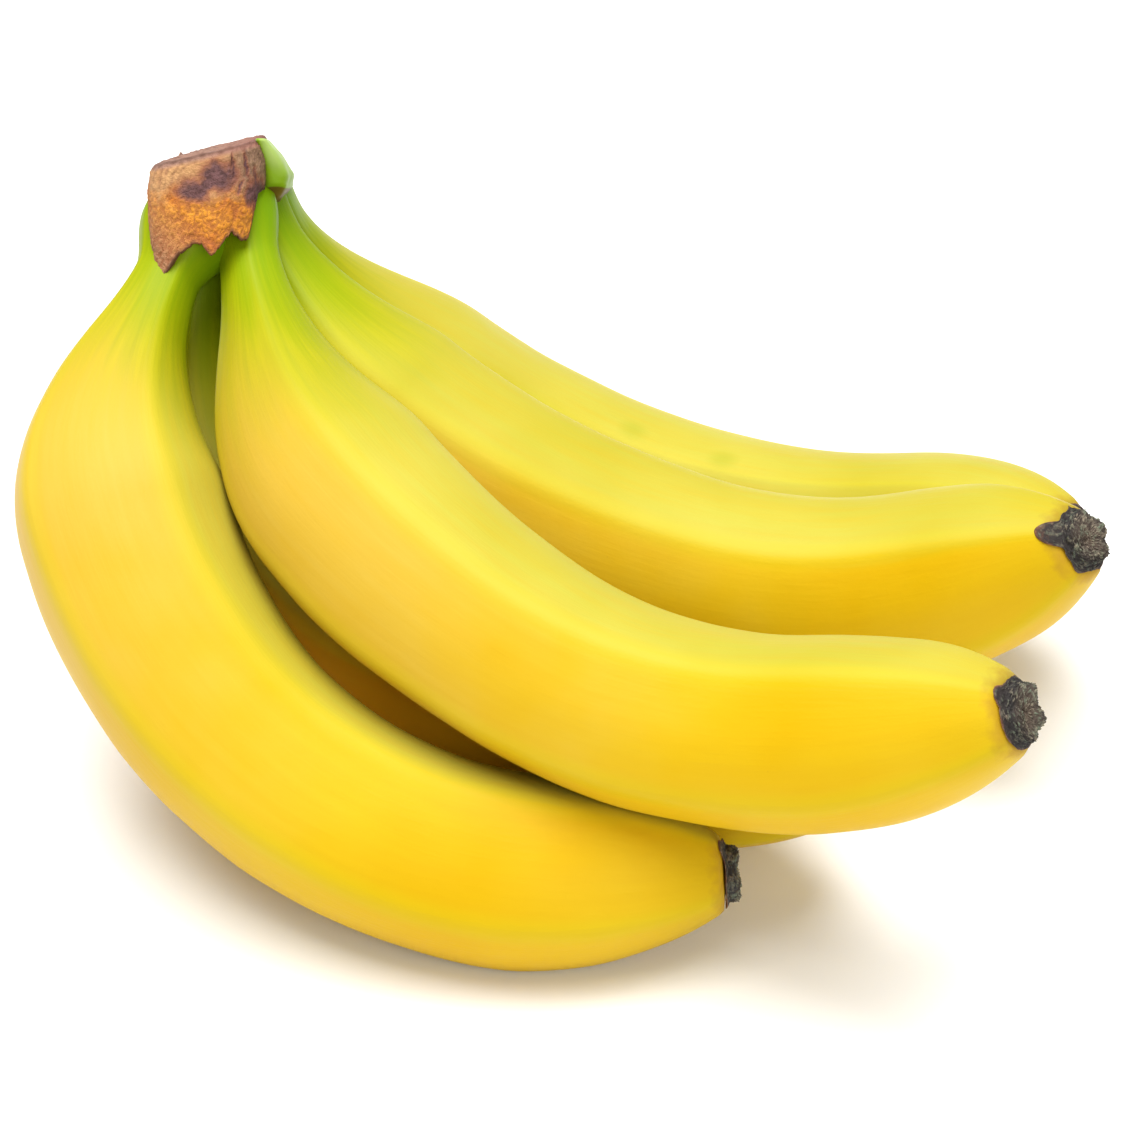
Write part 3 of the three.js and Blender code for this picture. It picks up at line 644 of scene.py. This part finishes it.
def make_cork():
    """The crown's dried bark and cut: cork-like tissue, matte, golden and granular below, tan with
    whorled lines above, a purple bruise between them, grey brown and cracked at one side."""
    material, tree, shader = new_material("dried crown cork", Roughness=0.75, IOR=1.45)
    pits, rim, whorl, bruise, cut = (
        add(tree, "ShaderNodeAttribute", attribute_name=name).outputs["Fac"] for name in CROWN_MARKS)
    place = add(tree, "ShaderNodeTexCoord").outputs["Object"]
    local = add(tree, "ShaderNodeMapping", {
        "Vector": place, "Location": CROWN_FRAME.translation, "Rotation": (-math.radians(CROWN_LEAN), 0, 0)},
        vector_type="TEXTURE")
    xyz = add(tree, "ShaderNodeSeparateXYZ", {0: local})
    warp = add(tree, "ShaderNodeTexNoise", {
        "Vector": place, "Scale": 190.0, "Detail": 4.0, "Roughness": 0.65})
    warp = add(tree, "ShaderNodeMapRange", {"Value": warp, "From Min": 0.3, "From Max": 0.7})
    speck = add(tree, "ShaderNodeTexNoise", {
        "Vector": place, "Scale": 900.0, "Detail": 3.0, "Roughness": 0.7})
    speck = add(tree, "ShaderNodeMapRange", {"Value": speck, "From Min": 0.35, "From Max": 0.65})
    # Golden orange cork, rust brown towards the left tongue, dark between its granules.
    bark, tan, grey, bruise_tone = (
        add(tree, "ShaderNodeMix", {"Factor": share, "A": srgb(low), "B": srgb(high)}, data_type="RGBA")
        for share, low, high in (
            (warp, "#b8661c", "#dc9422"), (warp, "#a8744a", "#cc9c66"), (speck, "#553c34", "#94755c"),
            (speck, "#3c242a", "#68464a")))
    to_tongue = add(tree, "ShaderNodeMath", {0: xyz.outputs["X"], 1: xyz.outputs["Z"]}, operation="ADD")
    to_tongue = add(tree, "ShaderNodeMapRange", {
        "Value": to_tongue, "From Min": -0.028, "From Max": -0.015, "To Min": 1.0, "To Max": 0.0})
    grit = add(tree, "ShaderNodeMath", {0: speck, 1: pits}, operation="MULTIPLY")
    grit = add(tree, "ShaderNodeMapRange", {
        "Value": grit, "From Min": 0.03, "From Max": 0.4, "To Min": 0.6, "To Max": 0.0})
    # The upper band: tan, with darker whorled lines, greyer to the right.
    whorl_share = add(tree, "ShaderNodeMath", {0: whorl, 1: 0.65}, operation="MULTIPLY")
    to_right = add(tree, "ShaderNodeMapRange", {
        "Value": xyz.outputs["X"], "From Min": 0.003, "From Max": 0.009, "To Max": 0.85})
    for share, tone in ((whorl_share, srgb("#73452f")), (to_right, grey)):
        tan = add(tree, "ShaderNodeMix", {"Factor": share, "A": tan, "B": tone}, data_type="RGBA")
    height = add(tree, "ShaderNodeMath", {0: warp, 1: 0.004, 2: xyz.outputs["Z"]}, operation="MULTIPLY_ADD")
    upper = add(tree, "ShaderNodeMapRange", {"Value": height, "From Min": -0.0085, "From Max": -0.005})
    halo = add(tree, "ShaderNodeMapRange", {"Value": bruise, "From Max": 0.45, "To Max": 0.75})
    core = add(tree, "ShaderNodeMapRange", {
        "Value": bruise, "From Min": 0.35, "From Max": 0.85, "To Max": 0.88})
    # The cut itself: pinkish grey, with the ends of the stalk's fibres.
    ends = add(tree, "ShaderNodeTexVoronoi", {"Vector": place, "Scale": 620.0})
    ends = add(tree, "ShaderNodeMapRange", {
        "Value": ends.outputs["Distance"], "From Min": 0.1, "From Max": 0.6})
    reddish = add(tree, "ShaderNodeMapRange", {
        "Value": xyz.outputs["X"], "From Min": 0.0, "From Max": 0.011, "To Max": 0.5})
    cut_tone = srgb("#74503f")
    for share, tone in ((ends, "#9f7866"), (reddish, "#86463c")):
        cut_tone = add(tree, "ShaderNodeMix", {"Factor": share, "A": cut_tone, "B": srgb(tone)},
                       data_type="RGBA")
    # Dark down the left edge, and along the rims.
    left_edge = add(tree, "ShaderNodeMapRange", {
        "Value": xyz.outputs["X"], "From Min": -0.0131, "From Max": -0.0117, "To Min": 0.55, "To Max": 0.0})
    rim_share = add(tree, "ShaderNodeMath", {0: warp, 1: 0.5, 2: 0.5}, operation="MULTIPLY_ADD")
    rim_share = add(tree, "ShaderNodeMath", {0: rim, 1: rim_share}, operation="MULTIPLY")
    for share, tone in (
            (to_tongue, srgb("#a67652")), (grit, srgb("#8a4a22")), (upper, tan), (halo, srgb("#8c4e36")),
            (core, bruise_tone), (cut, cut_tone), (left_edge, srgb("#4a2a1f")), (rim_share, srgb("#4a2a1f"))):
        bark = add(tree, "ShaderNodeMix", {"Factor": share, "A": bark, "B": tone}, data_type="RGBA")
    relief = add(tree, "ShaderNodeMath", {0: ends, 1: 0.4, 2: speck}, operation="MULTIPLY_ADD")
    finish_material(tree, shader, bark, relief, 0.0005, 0.6)
    return material


def make_green_skin():
    """Unripe skin left on the crown: waxy, satin, green, with a painted highlight making it paler towards
    its upper right edge, and a brown dried margin below."""
    material, tree, shader = new_material(
        "green crown skin", Roughness=0.45, IOR=1.45, Specular_IOR_Level=0.25)
    low, painted_highlight = (
        add(tree, "ShaderNodeAttribute", attribute_name=name).outputs["Fac"] for name in ("low", "painted_highlight"))
    place = add(tree, "ShaderNodeTexCoord").outputs["Object"]
    cloud = add(tree, "ShaderNodeTexNoise", {"Vector": place, "Scale": 200.0, "Detail": 3.0})
    # Paler towards the upper right edge: a painted highlight.
    wavering = add(tree, "ShaderNodeMath", {0: cloud, 1: 0.6, 2: painted_highlight}, operation="MULTIPLY_ADD")
    wavering = add(tree, "ShaderNodeMapRange", {"Value": wavering, "From Min": 0.4, "From Max": 1.2})
    margin = add(tree, "ShaderNodeMath", {0: cloud, 1: 0.4, 2: low}, operation="MULTIPLY_ADD")
    margin = add(tree, "ShaderNodeMapRange", {"Value": margin, "From Min": 1.05, "From Max": 1.25})
    green = srgb("#86aa1c")
    for share, tone in ((wavering, "#a3bb62"), (margin, "#6b5420")):
        green = add(tree, "ShaderNodeMix", {"Factor": share, "A": green, "B": srgb(tone)}, data_type="RGBA")
    finish_material(tree, shader, green, cloud, 0.0006, 0.4)
    return material


# ---- Crown ----

def edge_down(degrees):
    """How far below the cut the ragged edge of the cork hangs, with small teeth."""
    degrees = (degrees + 180) % 360 - 180
    (a, start), (b, end) = next((p, q) for p, q in zip(CROWN_EDGE, CROWN_EDGE[1:]) if p[0] <= degrees <= q[0])
    here = Vector((math.cos(math.radians(degrees)), math.sin(math.radians(degrees)), 0))
    teeth = noise.noise(here * 33) * 0.45 + noise.noise(here * 80) * 0.35
    return mix(start, end, (degrees - a) / (b - a)) + teeth


def crown_point(degrees, share, beyond, inset):
    """A point of the crown in its own frame, in millimetres: x across, y deep, z up."""
    angle = math.radians(degrees)
    s, c = math.sin(angle), math.cos(angle)
    across, deep = abs(s / (CROWN_HALF_WIDTH - inset)), abs(c / (CROWN_HALF_DEPTH - inset))
    reach = (across ** CROWN_SQUARENESS + deep ** CROWN_SQUARENESS) ** (-1 / CROWN_SQUARENESS)
    depth = CROWN_HALF_DEPTH - reach * c
    back_share = depth / (2 * CROWN_HALF_DEPTH)
    x = reach * s * (1 - CROWN_NARROWING * back_share) + CROWN_SKEW * depth
    top = CROWN_CUT_HEIGHT + CROWN_CUT_SLOPE * x + CROWN_CUT_TILT * depth
    down = share * (edge_down(degrees) + top) + beyond
    tongue = (down / LONGEST_TONGUE) ** 2 * max(0, c)
    return Vector((x * (1 - TONGUE_PINCH * tongue), depth - TONGUE_FLARE * tongue, top - down))


# Upright cracks in the crown's front: the place of the middle, the lean, half the length, the depth.
CRACKS = (
    (6.9, -3.4, -0.15, 3.6, 0.9), (9.2, -3.0, -0.2, 3.2, 0.7), (10.9, -5.5, -0.1, 2.5, 0.5),
    (8.1, -7.4, 0.3, 2.0, 0.4))
# Bruises in the bark, each with the place of its middle, its half width and half height. Then the
# middle of the whorled lines, and where one fibre is torn up from the cut's rim.
BRUISES = ((-0.7, -8.0, 2.7, 1.7), (1.8, -6.8, 1.7, 1.3), (3.9, -5.2, 2.7, 2.3), (11.2, -8.6, 1.6, 2.3))
WHORL_CENTRE = (0.6, -6.6)
TORN_FIBRE = (-6.2, 22)


def bark_marks(p):
    """At a point of the crown's own frame: the relief in millimetres, and how much of each marking."""
    granule = min(1.0, noise.voronoi(p * 1.6)[0][0] * 1.25)
    wobble = noise.noise(p * 0.35)
    lower = smooth(-5.5, -9.5, p.z + wobble)
    relief = (0.5 - granule) * mix(0.12, 0.3, lower)
    relief += noise.noise(p * 2.6) * 0.14
    relief += noise.noise(p * 0.45) * 0.22
    pits = mix(1.0, 1 - smooth(0.35, 0.95, granule), mix(0.35, 1, lower))
    whorl = bruise = 0.0
    if p.y < 7:
        away = math.hypot(p.x - WHORL_CENTRE[0], (p.z - WHORL_CENTRE[1]) * 1.15)
        turns = away / 1.15 + 0.8 * noise.noise(p * 0.3) + 0.25 * noise.noise(p * 1.3)
        line = 0.5 + 0.5 * math.sin(2 * math.pi * turns)
        share = smooth(3.4, 4.6, away) * smooth(11.5, 9, away) * smooth(-11, -8, p.z) * smooth(5, 2, p.x)
        whorl = share * line ** 1.5 * (0.65 + 0.5 * noise.noise(p * 1.1))
        relief -= 0.14 * whorl
        for x, z, wide, high in BRUISES:
            off = math.hypot((p.x - x) / wide, (p.z - z) / high)
            off += 0.45 * noise.noise(p * 0.5)
            off += 0.2 * noise.noise(p * 1.6)
            bruise = max(bruise, smooth(2.0, 0.35, off))
        relief -= 0.25 * bruise
        for x, z, lean, length, depth in CRACKS:
            off = abs(p.x - x - lean * (p.z - z) - 0.35 * noise.noise(p * 0.8)) / 0.42
            along = abs(p.z - z) / length
            if off < 1 and along < 1:
                relief -= depth * (1 - off) * (1 - along ** 2)
                bruise = max(bruise, (1 - off) * (1 - along ** 2) * 1.2)
    return relief, pits, min(1, whorl), min(0.95, bruise)


def bridge(bm, rings):
    """Faces between each ring of vertices and the next."""
    for upper, lower in zip(rings, rings[1:]):
        for i in range(len(upper)):
            j = (i + 1) % len(upper)
            bm.faces.new((upper[i], upper[j], lower[j], lower[i]))


def finished_mesh(name, bm, material):
    mesh = bpy.data.meshes.new(name)
    bm.to_mesh(mesh)
    bm.free()
    mesh.materials.append(material)
    return mesh


def make_crown_mesh(material):
    """The crown's side and cut as one closed skin, with its marks kept at each point."""
    sides = 300
    # Each row: the share of the way down to the ragged edge, how far below that, and how far in. First
    # the cut from its middle out, then its rounded rim, the side, and the margin turned in below.
    cut_rows = [(0, CUT_HOLLOW * (k / 8) - 0.45 * (1 - k / 8), mix(1.6, 14, k / 8)) for k in range(8, 0, -1)]
    rows = cut_rows + [(0, -0.3, 1.4), (0, -0.1, 0.8), (0, 0.4, 0.35), (0, 1.1, 0.12)]
    rows += [(0.05 + 0.95 * k / 64, 0, -0.6 * math.sin(math.pi * k / 64)) for k in range(1, 63)]
    rows += [(1, -0.25, -0.15), (1, 0, 0.2), (1, -0.2, 0.9), (1, -1, 2), (1, -2, 5)]
    bm = bmesh.new()
    layers = {name: bm.verts.layers.float.new(name) for name in CROWN_MARKS}
    rings = []
    for share, beyond, inset in rows:
        on_cut = share == 0 and inset > 0.5
        ring = []
        for side in range(sides):
            degrees = 180 - 360 * side / sides
            p = crown_point(degrees, share, beyond, inset)
            relief, pits, whorl, bruise = bark_marks(p)
            if on_cut:
                p.z += relief * 0.5 + 0.25 * noise.noise(Vector((p.x * 0.25, p.y * 1.1, 0)))
            else:
                p += Vector((p.x, p.y - CROWN_HALF_DEPTH, 0)).normalized() * relief
            # One torn fibre stands up from the rim of the cut.
            p.z += 1.8 * max(0, 1 - math.hypot(p.x - TORN_FIBRE[0], p.y - TORN_FIBRE[1]) / 0.8)
            vertex = bm.verts.new(CROWN_FRAME @ (p * MM))
            to_edge = (1 - share) * edge_down(degrees)
            vertex[layers["pits"]] = pits
            at_cut = 0.8 * smooth(2.2, 0.8, inset) if on_cut else 0
            vertex[layers["rim"]] = max(smooth(1.3, 0.2, to_edge), at_cut)
            vertex[layers["whorl"]] = whorl
            vertex[layers["bruise"]] = 0.0 if on_cut else bruise
            vertex[layers["cut"]] = 1.0 if on_cut else smooth(1.2, 0.3, share * edge_down(degrees) + beyond)
            ring.append(vertex)
        rings.append(ring)
    bridge(bm, rings)
    poles = (Vector((1.2, CROWN_HALF_DEPTH, -CUT_HOLLOW)), Vector((1.2, CROWN_HALF_DEPTH, -UNDERSIDE_DEPTH)))
    for pole, ring in zip(poles, (rings[0], rings[-1])):
        middle = bm.verts.new(CROWN_FRAME @ (pole * MM))
        middle[layers["cut"]] = 1.0
        for i in range(sides):
            bm.faces.new((middle, ring[i], ring[(i + 1) % sides]))
    return finished_mesh("crown_cork", bm, material)


def make_strip_mesh(material):
    """The strip of green skin down the crown's side, with an undercut foot."""
    sides = 72
    # Each row: the share of the way down, the share of the full section, and how far below the foot.
    rows = [(0.0, 0.55, 0.0), (0.01, 0.86, 0.0), (0.04, 1, 0.0)]
    rows += [(k / 30, 1, 0.0) for k in range(2, 30)]
    rows += [(0.985, 0.99, 0.05), (1.0, 0.93, 0.25), (1.0, 0.84, 0.6), (1.0, 0.74, 1.3), (1.0, 0.66, 2.1),
             (1.0, 0.6, 3.0)]
    bm = bmesh.new()
    low, painted_highlight = bm.verts.layers.float.new("low"), bm.verts.layers.float.new("painted_highlight")
    rings = []
    for share, size, under in rows:
        here = {key: mix(STRIP_TOP[key], STRIP_FOOT[key], share) for key in STRIP_TOP}
        ring = []
        for side in range(sides):
            angle = 2 * math.pi * side / sides
            s, c = math.sin(angle), math.cos(angle)
            thick = here["thick"] * (1 - 0.42 * smooth(0.72, 1, share) if c > 0 else 1)
            away = abs(c / thick) ** 4 + abs(s / here["wide"]) ** 4
            reach = away ** (-1 / 4) * size
            bow = STRIP_BOW * math.sin(math.pi * share) - 0.5 * under
            p = Vector((here["x"] + bow + reach * c, here["y"] + reach * s, here["z"] - under))
            p.x += 0.35 * noise.noise(p * 0.22)
            p.z += 0.5 * noise.noise(p * 0.3) * share
            vertex = bm.verts.new(CROWN_FRAME @ (p * MM))
            vertex[low] = smooth(0.9, 1, share) * 0.6 + smooth(0, 0.5, under) * 0.6
            # The painted highlight lies on the outer side, towards the top.
            outer = (p.x - here["x"]) / here["thick"] * 0.5 + 0.5
            vertex[painted_highlight] = smooth(0.1, 0.9, outer) * smooth(1.1, 0.2, share)
            ring.append(vertex)
        rings.append(ring)
    bridge(bm, rings)
    for ring in (rings[0], rings[-1]):
        bm.faces.new(ring)
    return finished_mesh("crown_green_skin", bm, material)


# ---- The bunch ----

peel, dried_flower, cork, green_skin = make_peel(), make_dried_flower(), make_cork(), make_green_skin()
radius_tree = make_radius_tree()
peel_tree = make_peel_tree(radius_tree)
dried_end_tree = make_dried_end_tree(radius_tree)

for index, (name, finger) in enumerate(FINGERS.items()):
    line = centre_line(finger["route"])
    values = {
        "Body Radius": finger["body"] * MM, "Neck Radius": finger["neck"] * MM,
        "Shoulder From": finger["shoulder"][0] * MM, "Shoulder To": finger["shoulder"][1] * MM,
        "Collar": finger["collar"] * MM, "Green Reach": finger["green"] * MM, "Flap": finger["flap"] * MM,
        "Painted Crevice Shade": float(finger["painted_crevice_shade"]), "Turn": float(finger["turn"]), "Roll": math.radians(finger["roll"]),
        "Bend Axis": bend_axis(line), "Seed": 1.7 * index}
    skin = grown(peel_tree, line, {**values, "Rings": 240, "Sides": 120, "Material": peel})
    piece_from("banana_" + name, skin, "finger_" + name)
    stub = grown(dried_end_tree, line, {**values, "Rings": 90, "Sides": 160, "Material": dried_flower})
    piece_from("blossom_end_" + name, stub, "tip_" + name)

piece_from("crown_cork", make_crown_mesh(cork), "crown_cushion")
piece_from("crown_green_skin", make_strip_mesh(green_skin), "crown_shoulder")

# ---- Table, light and camera ----

# White laminate, matte, so bright that only the soft shadows show.
table_material, _, table_shader = new_material(
    "white laminate table", Roughness=0.9, Specular_IOR_Level=0.0)
table_shader.inputs["Base Color"].default_value = srgb("#fbfbfa")
table_mesh = bpy.data.meshes.new("table")
table_mesh.from_pydata([(-4, -4, 0), (4, -4, 0), (4, 4, 0), (-4, 4, 0)], [], [(0, 1, 2, 3)])
table_mesh.materials.append(table_material)
table = bpy.data.objects.new("table", table_mesh)
bpy.context.scene.collection.objects.link(table)

world = bpy.data.worlds.new("studio")
bpy.context.scene.world = world
world.use_nodes = True
world.node_tree.nodes["Background"].inputs["Color"].default_value = srgb("#ffffff")
world.node_tree.nodes["Background"].inputs["Strength"].default_value = 0.28


def add_softbox(name, place, aim, size, power):
    light = bpy.data.lights.new(name, "AREA")
    light.shape = "RECTANGLE"
    light.size, light.size_y = size
    light.energy = power
    box = bpy.data.objects.new(name, light)
    box.location = place
    box.rotation_euler = (Vector(aim) - Vector(place)).to_track_quat("-Z", "Y").to_euler()
    bpy.context.scene.collection.objects.link(box)


add_softbox("overhead softbox", (-0.22, 0.12, 1.9), (0, 0, 0), (1.9, 1.6), 67)
add_softbox("front softbox", (0.6, -1.7, 1.2), (0, 0, 0.05), (1.4, 1.0), 15)

CAMERA_ELEVATION = math.radians(36)
CAMERA_DISTANCE = 0.649
CAMERA_AIM = Vector((-0.0023, -0.0020, 0.0443))
camera_data = bpy.data.cameras.new("camera")
camera_data.sensor_width = 36
camera_data.lens = 106.75
camera = bpy.data.objects.new("camera", camera_data)
away = Vector((0, -math.cos(CAMERA_ELEVATION), math.sin(CAMERA_ELEVATION)))
camera.location = CAMERA_AIM + CAMERA_DISTANCE * away
camera.rotation_euler = (math.pi / 2 - CAMERA_ELEVATION, 0, 0)
bpy.context.scene.collection.objects.link(camera)
bpy.context.scene.camera = camera
bpy.context.scene.view_settings.view_transform = "Standard"
